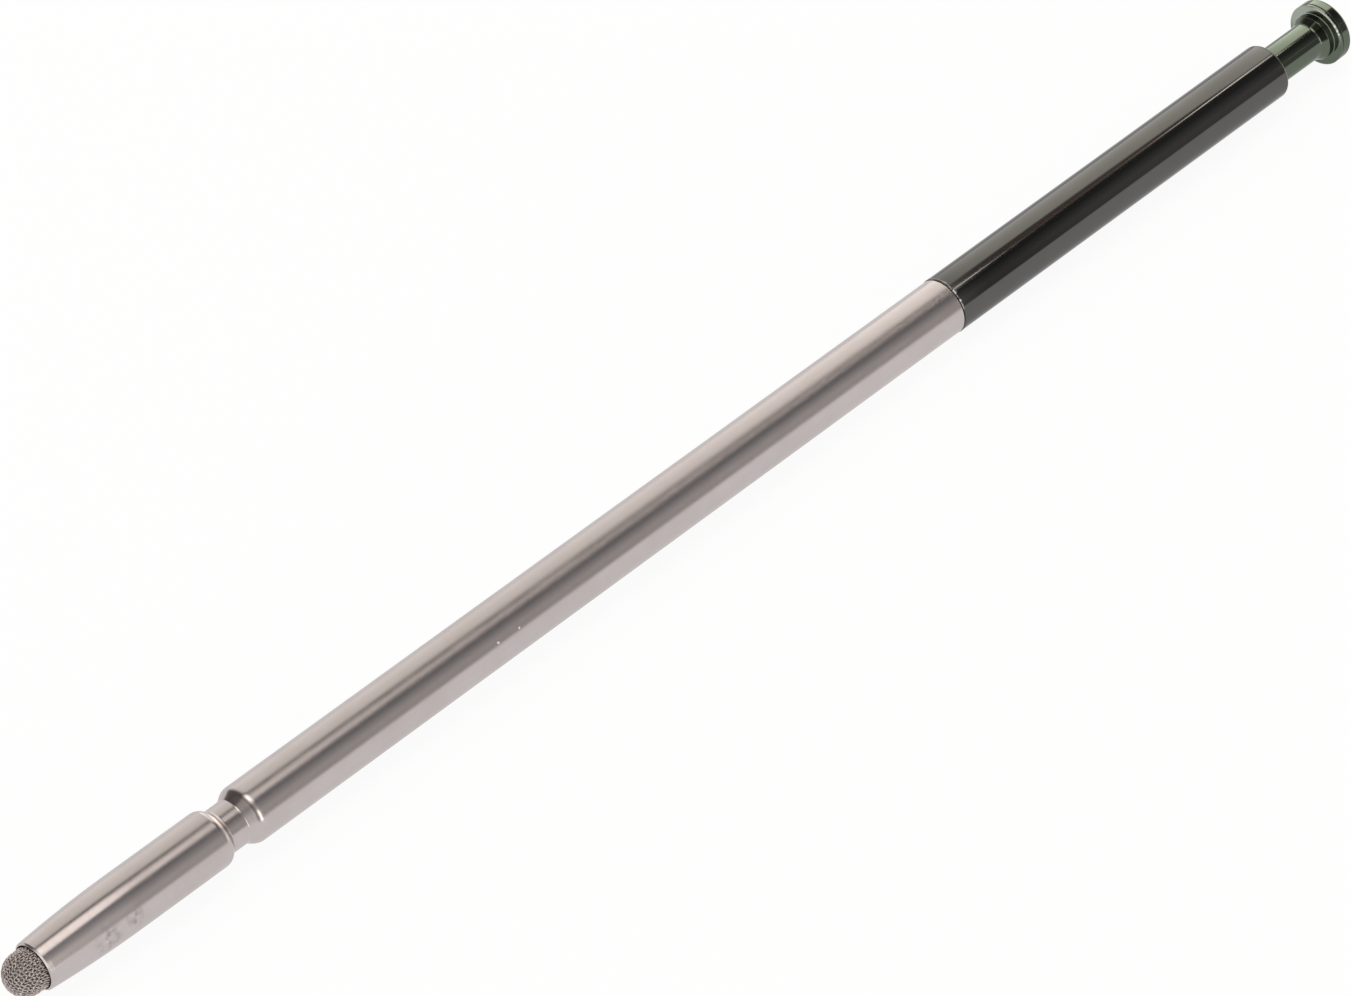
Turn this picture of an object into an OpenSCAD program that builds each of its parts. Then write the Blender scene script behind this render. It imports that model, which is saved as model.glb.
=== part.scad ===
// Push-to-release stylus: a slim pocket pen with a woven conductive tip.
// It lies along X with the tip at -X, Z is up, and the origin is on the table under its middle.

/* [Tip] */
// Diameter of the woven cap
tip_d = 2.56; // [2.2:0.02:2.8]
// How far the woven cap stands out of the nose
tip_reach = 1.86; // [1.5:0.02:2.6]
// Thickness of the woven cloth
weave_t = 0.16; // [0.1:0.01:0.24]
// How deep the cap's shoulder sits behind the nose rim
tip_sink = 0.35; // [0.2:0.05:0.8]
// Diameter of the core's tail
tail_d = 1.6; // [1.2:0.05:1.9]
// Length of the tail and its crimp ring
tail_l = 2.6; // [1.5:0.1:4]
// Gap between the woven cap and the nose rim
tip_gap = 0.06; // [0.02:0.01:0.1]

/* [Nose] */
// Length of the nose from its rim to the detent groove
nose_l = 12.96; // [11:0.02:16]
// How far the nose is inside the barrel's surface
nose_step = 0.02; // [0:0.01:0.06]
// Wall of the nose at its rim
rim_wall = 0.13; // [0.1:0.01:0.18]
// Rounding of the rim's outer edge
rim_round = 0.09; // [0.02:0.01:0.12]
// Length of the curved taper behind the rim
ogive_l = 6.6; // [4:0.1:9]
// Length of the nose's spigot inside the barrel
spigot_l = 5; // [3:0.5:10]

/* [Detent groove] */
// Depth of the groove below the barrel's surface
groove_depth = 0.39; // [0.3:0.01:0.44]
// Length of the groove's floor
neck_l = 1.13; // [0.5:0.01:2]
// Length of the nose's sloping shoulder
nose_slope_l = 0.26; // [0.2:0.02:1.2]
// Length of the barrel's sloping shoulder
barrel_slope_l = 0.74; // [0.5:0.02:1.2]
// Rounding where the nose turns into its shoulder
nose_slope_round = 0.4; // [0.1:0.1:1.2]
// Rounding at the foot of the nose's shoulder
neck_fillet = 0.4; // [0.1:0.1:0.8]
// Rounding where the barrel turns into its shoulder
barrel_slope_round = 0.8; // [0.05:0.05:1]

/* [Barrel] */
// Outer diameter of the barrel
barrel_d = 3.5; // [3.4:0.02:4]
// Length of the barrel's straight surface
barrel_l = 56.13; // [40:0.1:70]
// Wall of the barrel tube
barrel_wall = 0.5; // [0.48:0.02:0.7]

/* [Joint between the tubes] */
// Width of the dark joint line
seam_w = 0.12; // [0.08:0.02:0.3]
// Depth of the joint line below the barrel's surface
seam_depth = 0.16; // [0.04:0.02:0.2]
// Length of the coupler's plug inside each tube
plug_l = 4.5; // [3:0.5:6]
// Diameter of the hole through the coupler
vent_d = 0.9; // [0.5:0.1:1.4]
// Bright chamfer on the tube ends at the joint
end_chamfer = 0.05; // [0.02:0.01:0.08]

/* [Upper sleeve] */
// Outer diameter of the dark sleeve
sleeve_d = 3.56; // [3.5:0.02:4]
// Length of the sleeve
sleeve_l = 29.2; // [28.6:0.1:40]
// Wall of the sleeve tube
sleeve_wall = 0.3; // [0.22:0.02:0.4]
// Thickness of the lip turned in at the mouth
lip_t = 0.5; // [0.3:0.05:1]
// Rounding of the mouth's outer edge
mouth_round = 0.14; // [0.04:0.02:0.3]

/* [Plunger] */
// Diameter of the plunger rod
rod_d = 2.4; // [2:0.05:2.5]
// Distance from the sleeve's mouth to the head
rod_reach = 4.61; // [4.4:0.05:6]
// Diameter of the head
head_d = 4; // [3.8:0.05:5]
// Thickness of the head
head_h = 0.95; // [0.8:0.05:2]
// Rounding of the head's outer face
head_round = 0.18; // [0.05:0.01:0.3]
// Bevel on the head's lower edge
head_bevel = 0.1; // [0.04:0.01:0.14]
// Height of the fine turned line above the head's lower edge
line_up = 0.24; // [0.2:0.01:0.4]
// Width and depth of the fine turned line
line_w = 0.08; // [0.04:0.01:0.12]
// Diameter of the collar under the head
collar_d = 2.9; // [2.7:0.05:3.4]
// Thickness of the collar
collar_h = 0.42; // [0.2:0.02:0.6]
// Length of the cone between rod and collar
flare_l = 0.46; // [0.2:0.02:0.6]
// Rounding at the foot of that cone
flare_round = 0.3; // [0.05:0.05:0.4]
// Diameter of the rod's spigot in the cam slider
stub_d = 1.5; // [1:0.05:1.8]

/* [Click latch] */
// Full travel of the plunger
press_travel = 3.6; // [3:0.1:3.8]
// Travel at which the latch holds
latch_travel = 2.9; // [2.5:0.1:3]
// Sideways reach of the cam track
track_reach = 0.6; // [0.5:0.02:0.64]
// Length of the rod's guide bush
bush_l = 4.5; // [3:0.1:5]
// Length of the cam slider
slider_l = 10.5; // [10:0.1:11]
// Length of the slider's full-round guide
guide_l = 2.6; // [2:0.1:3]
// Height of the slider's flat above the pen's axis
flat_h = 0.8; // [0.75:0.01:0.85]
// Distance from the slider's end to the resting follower
track_start = 1.3; // [1:0.1:1.6]
// Depth of the cam track at its first step
track_depth = 0.3; // [0.2:0.02:0.34]
// Drop from each step of the track's floor to the next
track_step = 0.04; // [0.02:0.01:0.06]
// Narrowing of the track at each step
ledge = 0.01; // [0.005:0.001:0.012]
// Diameter of the follower's wire
pin_d = 0.25; // [0.2:0.01:0.28]
// Length of the carrier that holds the follower
carrier_l = 3; // [2.6:0.1:3.4]
// Thickness of the carrier's end wall
carrier_wall = 0.6; // [0.4:0.1:0.8]
// Width of the leaf spring
leaf_w = 0.8; // [0.5:0.05:0.9]
// Thickness of the leaf spring
leaf_t = 0.1; // [0.06:0.01:0.12]

/* [Return spring] */
// Outer diameter of the spring
spring_d = 1.5; // [1.3:0.05:1.55]
// Diameter of the spring wire
wire_d = 0.2; // [0.16:0.01:0.24]
// Turns of the spring
spring_turns = 7; // [5:1:8]
// Diameter of the posts that centre the spring
post_d = 0.8; // [0.6:0.05:0.9]
// Length of the posts
post_l = 1; // [0.5:0.1:1.1]

/* [Clearances] */
// Radial gap of bonded and pressed pieces
bond_gap = 0.02; // [0.01:0.01:0.04]
// Radial gap of sliding pieces
slide_gap = 0.04; // [0.02:0.01:0.08]
// Radial gap between the rod and the sleeve's mouth
mouth_gap = 0.1; // [0.06:0.01:0.2]
// Gap between faces that meet at a stop
stop_gap = 0.03; // [0.02:0.01:0.06]
// Gap around the follower's wire in its hole and over the slider
pin_gap = 0.05; // [0.03:0.01:0.06]

/* [Hidden] */
$fn = 64;

// Steps in a rounded corner and in the nose's taper
arc_steps = 8;
ogive_steps = 14;
// Largest share of an edge that a corner's rounding may use
corner_share = 0.48;
// Extra reach of a cutting shape past the surface that it cuts
cut_over = 0.1;

// Radii
tip_r = tip_d / 2;
core_r = tip_r - weave_t;
tail_r = tail_d / 2;
nose_bore_r = tip_r + tip_gap;
rim_r = nose_bore_r + rim_wall;
barrel_r = barrel_d / 2;
nose_r = barrel_r - nose_step;
neck_r = barrel_r - groove_depth;
barrel_bore_r = barrel_r - barrel_wall;
spigot_r = barrel_bore_r - bond_gap;
sleeve_r = sleeve_d / 2;
sleeve_bore_r = sleeve_r - sleeve_wall;
sleeve_fit_r = sleeve_bore_r - bond_gap;
rod_r = rod_d / 2;
head_r = head_d / 2;
collar_r = collar_d / 2;
stub_r = stub_d / 2;
slider_r = sleeve_bore_r - slide_gap;
track_r = pin_d / 2 + pin_gap;
pin_r = pin_d / 2;
wire_r = wire_d / 2;
coil_r = spring_d / 2 - wire_r;
post_r = post_d / 2;

// Stations along the pen's axis, counted from the end of the tip
nose_z = tip_reach;
ferrule_z = nose_z + tip_sink;
ferrule_end = ferrule_z + tail_l;
nose_slope_z = nose_z + nose_l;
neck_z = nose_slope_z + nose_slope_l;
foot_z = neck_z + neck_l;
barrel_z = foot_z + barrel_slope_l;
barrel_end = barrel_z + barrel_l;
sleeve_z = barrel_end + seam_w;
sleeve_end = sleeve_z + sleeve_l;
head_z = sleeve_end + rod_reach;
pen_l = head_z + head_h;
carrier_z = sleeve_z + plug_l;
carrier_end = carrier_z + carrier_l;
lip_z = sleeve_end - lip_t;
bush_z = lip_z - bush_l;
slider_end = bush_z - stop_gap;
slider_z = slider_end - slider_l;
guide_z = slider_end - guide_l;
stub_z = guide_z + stop_gap;
axis_h = head_r;

// The follower: a wire pivoting in the carrier, with its far end in the cam track
pivot_z = (carrier_z + carrier_wall + carrier_end) / 2;
follower_z = slider_z + track_start;
pin_up = flat_h + pin_gap + pin_r;
press_floor = flat_h - track_depth;
latch_floor = press_floor - track_step;
passed_floor = latch_floor - track_step;
return_floor = press_floor + track_step;
pin_foot = press_floor + pin_gap;
pivot_foot = press_floor - track_depth;
leaf_up = pin_up + pin_r + pin_gap;
leaf_end = follower_z;

// Return spring between the carrier and the slider
spring_rise = (slider_z - stop_gap - carrier_end - wire_d) / spring_turns;
rings_per_turn = 12;
wire_sides = 8;
spring_rings = spring_turns * rings_per_turn;

// Corner rounding for profiles given as [radius, station, rounding]
function flat(p) = [p.x, p.y];
function unit(v) = v / norm(v);
function corner(a, b, c, r) =
    let (
        u = unit(a - b),
        v = unit(c - b),
        half = acos(max(-1, min(1, u * v))) / 2,
        most = corner_share * min(norm(a - b), norm(c - b)) * tan(half),
        fit = min(r, most),
        mid = b + unit(u + v) * fit / sin(half),
        from = b + u * fit / tan(half) - mid,
        to = b + v * fit / tan(half) - mid,
        start = atan2(from.y, from.x),
        raw = atan2(to.y, to.x) - start,
        sweep = raw > 180 ? raw - 360 : raw < -180 ? raw + 360 : raw
    )
    [for (i = [0 : arc_steps])
        let (angle = start + sweep * i / arc_steps)
        mid + fit * [cos(angle), sin(angle)]];
function rounded(path) =
    let (n = len(path))
    [for (i = [0 : n - 1])
        each path[i].z > 0
            ? corner(flat(path[(i + n - 1) % n]), flat(path[i]), flat(path[(i + 1) % n]), path[i].z)
            : [flat(path[i])]];

// The nose's taper is an arc that runs out along its cylinder
ogive_drop = nose_r - rim_r;
ogive_arc_r = (ogive_l * ogive_l + ogive_drop * ogive_drop) / (2 * ogive_drop);
function ogive_r(d) =
    let (left = ogive_l - d)
    nose_r - ogive_arc_r + sqrt(ogive_arc_r * ogive_arc_r - left * left);

// Points of the return spring's wire
function spring_point(ring, side) =
    let (
        turn = 360 * ring / rings_per_turn,
        around = 360 * side / wire_sides,
        reach = coil_r + wire_r * cos(around),
        rise = spring_rise * ring / rings_per_turn
    )
    [reach * cos(turn), reach * sin(turn), carrier_end + rise + wire_r * (1 + sin(around))];
function spring_centre(ring) =
    let (turn = 360 * ring / rings_per_turn)
    [coil_r * cos(turn), coil_r * sin(turn), spring_rise * ring / rings_per_turn];
spring_gap = min([for (i = [0 : spring_rings - rings_per_turn])
    norm(spring_centre(i + rings_per_turn) - spring_centre(i))]) - wire_d;
echo(spring_gap = spring_gap);

// Lays a piece that is built standing on its tip along X, with its own X pointing up
module along_pen() {
    translate([-pen_l / 2, 0, axis_h])
        rotate([0, 90, 0])
            rotate([0, 0, 180])
                children();
}

// A turned piece from its profile
module turned(path) {
    along_pen() rotate_extrude() polygon(rounded(path));
}

// One leg of the cam track: a slot with round ends from a to b, each [station, side], with a
// floor that goes from floor_a to floor_b above the pen's axis
module track_leg(a, b, slot_r, floor_a, floor_b) {
    run = b - a;
    tilt = atan2(floor_b - floor_a, norm(run));
    slot_l = norm(run) / cos(tilt);
    translate([floor_a, a.y, a.x])
        rotate([0, 90, 0])
            rotate([0, 0, 180 - atan2(run.y, run.x)])
                rotate([0, -tilt, 0])
                    linear_extrude(flat_h + cut_over - min(floor_a, floor_b)) {
                        circle(slot_r);
                        translate([0, -slot_r]) square([slot_l, 2 * slot_r]);
                        translate([slot_l, 0]) circle(slot_r);
                    }
}

// Woven conductive cap, with its hem turned in round the core's tail
module tip_mesh() {
    color("dimgray") along_pen() difference() {
        union() {
            translate([0, 0, tip_r]) sphere(tip_r);
            translate([0, 0, tip_r]) cylinder(r = tip_r, h = ferrule_z - tip_r);
            translate([0, 0, ferrule_z]) cylinder(r = tail_r + weave_t, h = tail_l);
        }
        translate([0, 0, tip_r]) sphere(core_r);
        translate([0, 0, tip_r]) cylinder(r = core_r, h = ferrule_z - weave_t - tip_r);
        translate([0, 0, tip_r]) cylinder(r = tail_r, h = ferrule_end - tip_r + cut_over);
    }
}

// Soft core that gives the cap its dome
module tip_core() {
    dome_r = core_r - bond_gap;
    shoulder_z = ferrule_z - weave_t - bond_gap;
    color("whitesmoke") along_pen() translate([0, 0, tip_r]) {
        sphere(dome_r);
        cylinder(r = dome_r, h = shoulder_z - tip_r);
        cylinder(r = tail_r - bond_gap, h = ferrule_end - tip_r);
    }
}

// Crimp ring that holds the cap's hem in the nose
module tip_ferrule() {
    inner = tail_r + weave_t + bond_gap;
    outer = nose_bore_r - bond_gap;
    color("goldenrod") turned([
        [inner, ferrule_z, 0],
        [outer, ferrule_z, end_chamfer],
        [outer, ferrule_end, 0],
        [inner, ferrule_end, 0]]);
}

// Turned nose with its detent neck and the spigot that enters the barrel
module nose_cone() {
    color("silver") turned(concat(
        [[0, ferrule_end, 0],
        [nose_bore_r, ferrule_end, 0],
        [nose_bore_r, nose_z, 0],
        [rim_r, nose_z, rim_round]],
        [for (i = [1 : ogive_steps])
            let (d = ogive_l * i / ogive_steps)
            [ogive_r(d), nose_z + d, 0]],
        [[nose_r, nose_slope_z, nose_slope_round],
        [neck_r, neck_z, neck_fillet],
        [neck_r, foot_z, 0],
        [spigot_r, foot_z, 0],
        [spigot_r, foot_z + spigot_l, end_chamfer],
        [0, foot_z + spigot_l, 0]]));
}

// Satin barrel tube, turned down to the groove at its front end
module barrel_tube() {
    color("lightgray") turned([
        [barrel_bore_r, foot_z, 0],
        [neck_r, foot_z, 0],
        [barrel_r, barrel_z, barrel_slope_round],
        [barrel_r, barrel_end - end_chamfer, 0],
        [barrel_r - end_chamfer, barrel_end, 0],
        [barrel_bore_r, barrel_end, 0]]);
}

// Plug that joins barrel and sleeve, with the thin flange that shows as the dark joint line
module joint_coupler() {
    flange_r = barrel_r - seam_depth;
    plug_r = barrel_bore_r - bond_gap;
    vent_r = vent_d / 2;
    color("darkslategray") turned([
        [vent_r, barrel_end - plug_l, 0],
        [plug_r, barrel_end - plug_l, end_chamfer],
        [plug_r, barrel_end, 0],
        [flange_r, barrel_end, 0],
        [flange_r, sleeve_z, 0],
        [sleeve_fit_r, sleeve_z, 0],
        [sleeve_fit_r, carrier_z, end_chamfer],
        [vent_r, carrier_z, 0]]);
}

// Dark polished sleeve with its mouth turned in round the rod
module upper_sleeve() {
    mouth_r = rod_r + mouth_gap;
    color("dimgray") turned([
        [sleeve_bore_r, sleeve_z, 0],
        [sleeve_r - end_chamfer, sleeve_z, 0],
        [sleeve_r, sleeve_z + end_chamfer, 0],
        [sleeve_r, sleeve_end, mouth_round],
        [mouth_r, sleeve_end, end_chamfer],
        [mouth_r, lip_z, 0],
        [sleeve_bore_r, lip_z, 0]]);
}

// Plain bush that guides the rod and stops the slider
module rod_bush() {
    color("ivory") turned([
        [rod_r + slide_gap, bush_z, 0],
        [sleeve_fit_r, bush_z, 0],
        [sleeve_fit_r, lip_z, 0],
        [rod_r + slide_gap, lip_z, 0]]);
}

// Plated plunger: spigot, rod, collar and head turned in one piece
module plunger() {
    collar_z = head_z - collar_h;
    line_z = head_z + line_up;
    color("darkseagreen") turned([
        [0, stub_z, 0],
        [stub_r - bond_gap, stub_z, end_chamfer],
        [stub_r - bond_gap, slider_end, 0],
        [rod_r, slider_end, 0],
        [rod_r, collar_z - flare_l, flare_round],
        [collar_r, collar_z, end_chamfer],
        [collar_r, head_z, end_chamfer],
        [head_r - head_bevel, head_z, 0],
        [head_r, head_z + head_bevel, 0],
        [head_r, line_z - line_w / 2, 0],
        [head_r - line_w, line_z, 0],
        [head_r, line_z + line_w / 2, 0],
        [head_r, pen_l, head_round],
        [0, pen_l, 0]]);
}

// Slider with the heart-shaped cam track in its flat
module cam_slider() {
    rest = [follower_z, 0];
    pressed = [follower_z + press_travel, track_reach];
    latched = [follower_z + latch_travel, 0];
    passed = [follower_z + press_travel, -track_reach];
    color("ivory") along_pen() difference() {
        union() {
            translate([0, 0, slider_z]) cylinder(r = slider_r, h = slider_l);
            translate([0, 0, slider_z - post_l]) cylinder(r = post_r, h = post_l + cut_over);
        }
        translate([flat_h, -slider_r, slider_z - cut_over])
            cube([slider_r, 2 * slider_r, guide_z - slider_z + cut_over]);
        translate([0, 0, guide_z]) cylinder(r = stub_r, h = guide_l + cut_over);
        track_leg(rest, pressed, track_r, press_floor, press_floor);
        track_leg(pressed, latched, track_r - ledge, latch_floor, latch_floor);
        track_leg(latched, passed, track_r - 2 * ledge, passed_floor, passed_floor);
        track_leg(passed, rest, track_r - 3 * ledge, passed_floor, return_floor);
    }
}

// Wire follower: pivot leg, shank and track leg
module cam_pin() {
    color("gainsboro") along_pen() {
        translate([pivot_foot, 0, pivot_z])
            rotate([0, 90, 0]) cylinder(r = pin_r, h = pin_up - pivot_foot);
        translate([pin_up, 0, pivot_z]) sphere(pin_r);
        translate([pin_up, 0, pivot_z]) cylinder(r = pin_r, h = follower_z - pivot_z);
        translate([pin_up, 0, follower_z]) sphere(pin_r);
        translate([pin_foot, 0, follower_z])
            rotate([0, 90, 0]) cylinder(r = pin_r, h = pin_up - pin_foot);
    }
}

// Leaf spring that keeps the follower in its track
module pin_leaf() {
    color("lightsteelblue") along_pen()
        translate([leaf_up, -leaf_w / 2, carrier_z + bond_gap])
            cube([leaf_t, leaf_w, leaf_end - carrier_z - bond_gap]);
}

// Carrier for the follower, the leaf and the foot of the return spring
module pin_carrier() {
    slot_w = leaf_w + 2 * bond_gap;
    slot_t = leaf_t + 2 * bond_gap;
    hole_r = pin_r + slide_gap;
    color("ivory") along_pen() difference() {
        union() {
            translate([0, 0, carrier_z]) cylinder(r = sleeve_fit_r, h = carrier_l);
            translate([0, 0, carrier_end - cut_over]) cylinder(r = post_r, h = post_l + cut_over);
        }
        translate([flat_h, -sleeve_fit_r, carrier_z + carrier_wall])
            cube([sleeve_fit_r, 2 * sleeve_fit_r, carrier_l - carrier_wall + cut_over]);
        translate([leaf_up - bond_gap, -slot_w / 2, carrier_z - cut_over])
            cube([slot_t, slot_w, carrier_wall + 2 * cut_over]);
        translate([pivot_foot - pin_gap, 0, pivot_z])
            rotate([0, 90, 0]) cylinder(r = hole_r, h = flat_h - pivot_foot + pin_gap + cut_over);
    }
}

// Return spring, one unbroken wire
module return_spring() {
    points = [for (i = [0 : spring_rings]) for (k = [0 : wire_sides - 1]) spring_point(i, k)];
    last = spring_rings * wire_sides;
    walls = [for (i = [0 : spring_rings - 1]) for (k = [0 : wire_sides - 1])
        let (
            a = i * wire_sides + k,
            b = i * wire_sides + (k + 1) % wire_sides
        )
        each [[a, a + wire_sides, b], [b, a + wire_sides, b + wire_sides]]];
    start_cap = [for (k = [1 : wire_sides - 2]) [0, k, k + 1]];
    end_cap = [for (k = [1 : wire_sides - 2]) [last, last + k + 1, last + k]];
    color("gainsboro") along_pen() polyhedron(points, concat(walls, start_cap, end_cap));
}

tip_mesh();
tip_core();
tip_ferrule();
nose_cone();
barrel_tube();
joint_coupler();
upper_sleeve();
rod_bush();
plunger();
cam_slider();
cam_pin();
pin_leaf();
pin_carrier();
return_spring();
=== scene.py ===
"""Looks of a slim push-to-release stylus pen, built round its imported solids.

Sizes in the classes are in millimetres, and stations are counted from the end of the tip along the
pen's axis. Meshes are in metres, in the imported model's frame: X along the pen, Z up.
"""

import logging
import math
from abc import ABC, abstractmethod
from collections.abc import Iterable, Sequence
from dataclasses import dataclass
from enum import Enum
from functools import cache, partial, reduce
from typing import ClassVar

import bpy
import numpy as np
from bpy.types import Material, Node, NodeOutputs, NodeTree
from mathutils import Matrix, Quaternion, Vector


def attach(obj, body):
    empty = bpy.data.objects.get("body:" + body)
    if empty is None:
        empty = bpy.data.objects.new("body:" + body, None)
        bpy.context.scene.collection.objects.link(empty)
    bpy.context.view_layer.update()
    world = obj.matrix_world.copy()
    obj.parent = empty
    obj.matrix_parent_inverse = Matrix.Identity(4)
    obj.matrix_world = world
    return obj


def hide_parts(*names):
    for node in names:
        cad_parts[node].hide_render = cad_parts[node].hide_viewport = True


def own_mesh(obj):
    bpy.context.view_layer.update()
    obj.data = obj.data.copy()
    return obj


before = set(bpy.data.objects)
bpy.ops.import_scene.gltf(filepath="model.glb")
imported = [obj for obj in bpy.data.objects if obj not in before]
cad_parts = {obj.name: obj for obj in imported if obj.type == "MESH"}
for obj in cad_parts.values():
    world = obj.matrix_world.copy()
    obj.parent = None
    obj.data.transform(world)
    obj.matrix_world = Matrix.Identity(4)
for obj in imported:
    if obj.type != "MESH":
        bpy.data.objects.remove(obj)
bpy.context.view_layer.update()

LOG = logging.getLogger("stylus")
MM = 0.001

Point = tuple[float, float]
Corner = tuple[float, float, float]
Colour = tuple[float, float, float]
Place = tuple[float, float, float]
Number = float | np.ndarray
Socket = bpy.types.NodeSocket
Piece = bpy.types.Object


class Body(Enum):
    """The pen's moving bodies."""

    PEN = "pen"
    PLUNGER = "plunger"


class GrainRun(Enum):
    """Which way the fine tool marks of a metal run."""

    AROUND = "around the pen"
    ALONG = "along the pen"


class Pattern(Enum):
    """Which output of the shared tool marks mixes a finish's two colours."""

    LINES = "Lines"
    CLOUD = "Cloud"


@dataclass(frozen=True)
class PenAxis:
    """Where the pen lies: its whole length and the height of its axis."""

    length: float = 107.96
    height: float = 2.0

    def along(self, station: Number) -> Number:
        """Give a station's X in metres."""
        return (station - self.length / 2) * MM

    def place(self, radius: Number, station: Number, angle: Number) -> tuple[Number, Number, Number]:
        """Give the place of one point or an array of points.

        Args:
            radius: distance from the axis.
            station: distance from the end of the tip.
            angle: turn about the axis in radians, from +Y towards +Z.

        Returns:
            X, Y and Z in metres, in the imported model's frame.
        """
        y, z = radius * np.cos(angle), self.height + radius * np.sin(angle)
        return self.along(station), y * MM, z * MM


AXIS = PenAxis()


# Meshes

ARC_STEPS = 10
CORNER_SHARE = 0.48
SHARP_TURN = math.radians(24)
LONG_RUN = 0.12
HOLD = 0.02
ON_AXIS = 1e-6
SIDE_HINT = (0.31, 0.52, 0.79)
TURNED_SEGMENTS = 192
CAP_SEGMENTS = 96


def corner_arc(before: np.ndarray, at: np.ndarray, after: np.ndarray, rounding: float) -> list[Point]:
    """Round one corner of a profile.

    Args:
        before: the point before the corner.
        at: the corner.
        after: the point after the corner.
        rounding: radius of the arc, cut down where the edges are too short for it.

    Returns:
        The points of the arc.
    """
    u, v = before - at, after - at
    short = min(np.linalg.norm(u), np.linalg.norm(v))
    u, v = u / np.linalg.norm(u), v / np.linalg.norm(v)
    half = math.acos(max(-1.0, min(1.0, float(u @ v)))) / 2
    radius = min(rounding, CORNER_SHARE * short * math.tan(half))
    mid = at + (u + v) / np.linalg.norm(u + v) * radius / math.sin(half)
    first, last = at + u * radius / math.tan(half) - mid, at + v * radius / math.tan(half) - mid
    start = math.atan2(first[1], first[0])
    sweep = math.remainder(math.atan2(last[1], last[0]) - start, math.tau)
    turns = (start + sweep * i / ARC_STEPS for i in range(ARC_STEPS + 1))
    return [(mid[0] + radius * math.cos(t), mid[1] + radius * math.sin(t)) for t in turns]


def rounded_profile(corners: Sequence[Corner]) -> list[Point]:
    """Turn a closed profile of (radius, station, rounding) corners into plain points.

    A long run gets a point near each end, so that smooth shading keeps its faces straight.

    Args:
        corners: the corners in order.

    Returns:
        Points as (radius, station).
    """
    flat = [np.array(c[:2], float) for c in corners]
    points: list[Point] = []
    for i, (radius, station, rounding) in enumerate(corners):
        if rounding > 0:
            points += corner_arc(flat[i - 1], flat[i], flat[(i + 1) % len(flat)], rounding)
        else:
            points.append((radius, station))
    held: list[Point] = []
    for at, ahead in zip(points, points[1:] + points[:1]):
        held.append(at)
        run = math.dist(at, ahead)
        if run > LONG_RUN:
            for share in (HOLD / run, 1 - HOLD / run):
                held.append(tuple(a + (b - a) * share for a, b in zip(at, ahead)))
    return held


def mesh_piece(name: str, points: Iterable, faces: Iterable, sharp: Iterable = ()) -> Piece:
    """Make a smooth-shaded object of points and faces.

    Args:
        name: the piece's name.
        points: vertices in metres.
        faces: vertex numbers of each face.
        sharp: pairs of vertex numbers whose edge stays sharp.

    Returns:
        The new object, linked to the scene.
    """
    mesh = bpy.data.meshes.new(name)
    mesh.from_pydata([tuple(p) for p in points], [], [tuple(f) for f in faces])
    mesh.polygons.foreach_set("use_smooth", [True] * len(mesh.polygons))
    wanted = {frozenset(pair) for pair in sharp}
    if wanted:
        for edge in mesh.edges:
            edge.use_edge_sharp = frozenset(edge.vertices) in wanted
    mesh.update()
    piece = bpy.data.objects.new(name, mesh)
    bpy.context.scene.collection.objects.link(piece)
    return piece


def lathe(name: str, corners: Sequence[Corner], segments: int = TURNED_SEGMENTS) -> Piece:
    """Turn a closed profile about the pen's axis.

    Args:
        name: the piece's name.
        corners: the profile as (radius, station, rounding), going round counter-clockwise with the
            station to the right and the radius up.
        segments: steps round the axis.

    Returns:
        The turned piece.
    """
    profile = rounded_profile(corners)
    points: list[Place] = []
    rings: list[list[int]] = []
    for radius, station in profile:
        count = 1 if radius < ON_AXIS else segments
        rings.append(list(range(len(points), len(points) + count)))
        points += [AXIS.place(radius, station, math.tau * k / segments) for k in range(count)]
    faces, sharp = [], []
    for i, ring in enumerate(rings):
        ahead = rings[(i + 1) % len(rings)]
        for k in range(segments):
            m = (k + 1) % segments
            loop = [ring[k % len(ring)], ring[m % len(ring)], ahead[m % len(ahead)], ahead[k % len(ahead)]]
            loop = [v for n, v in enumerate(loop) if v != loop[n - 1]]
            if len(loop) > 2:
                faces.append(loop)
        a, b, c = (np.array(profile[(i + n) % len(profile)]) for n in (-1, 0, 1))
        turn = math.atan2(*(b - a)) - math.atan2(*(c - b))
        if len(ring) > 1 and abs(math.remainder(turn, math.tau)) > SHARP_TURN:
            sharp += [(ring[k], ring[(k + 1) % segments]) for k in range(segments)]
    return mesh_piece(name, points, faces, sharp)


def wire_piece(name: str, paths: Sequence[np.ndarray], radius: float, sides: int) -> Piece:
    """Sweep a round wire along paths, with closed ends.

    Args:
        name: the piece's name.
        paths: arrays of points in metres.
        radius: the wire's radius.
        sides: faces round the wire.

    Returns:
        The wires as one piece.
    """
    points, faces = [], []
    for path in paths:
        tangents = np.gradient(path, axis=0)
        tangents /= np.linalg.norm(tangents, axis=1)[:, None]
        side = np.cross(tangents[0], SIDE_HINT)
        start = len(points)
        for at, tangent in zip(path, tangents):
            side = side - tangent * (side @ tangent)
            side /= np.linalg.norm(side)
            over = np.cross(tangent, side)
            for k in range(sides):
                turn = math.tau * k / sides
                points.append(at + radius * MM * (math.cos(turn) * side + math.sin(turn) * over))
        for i in range(len(path) - 1):
            for k in range(sides):
                a, b = start + i * sides + k, start + i * sides + (k + 1) % sides
                faces.append((a, b, b + sides, a + sides))
        last = start + (len(path) - 1) * sides
        faces.append(tuple(range(start + sides - 1, start - 1, -1)))
        faces.append(tuple(range(last, last + sides)))
    return mesh_piece(name, points, faces)


# Shader building

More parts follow.
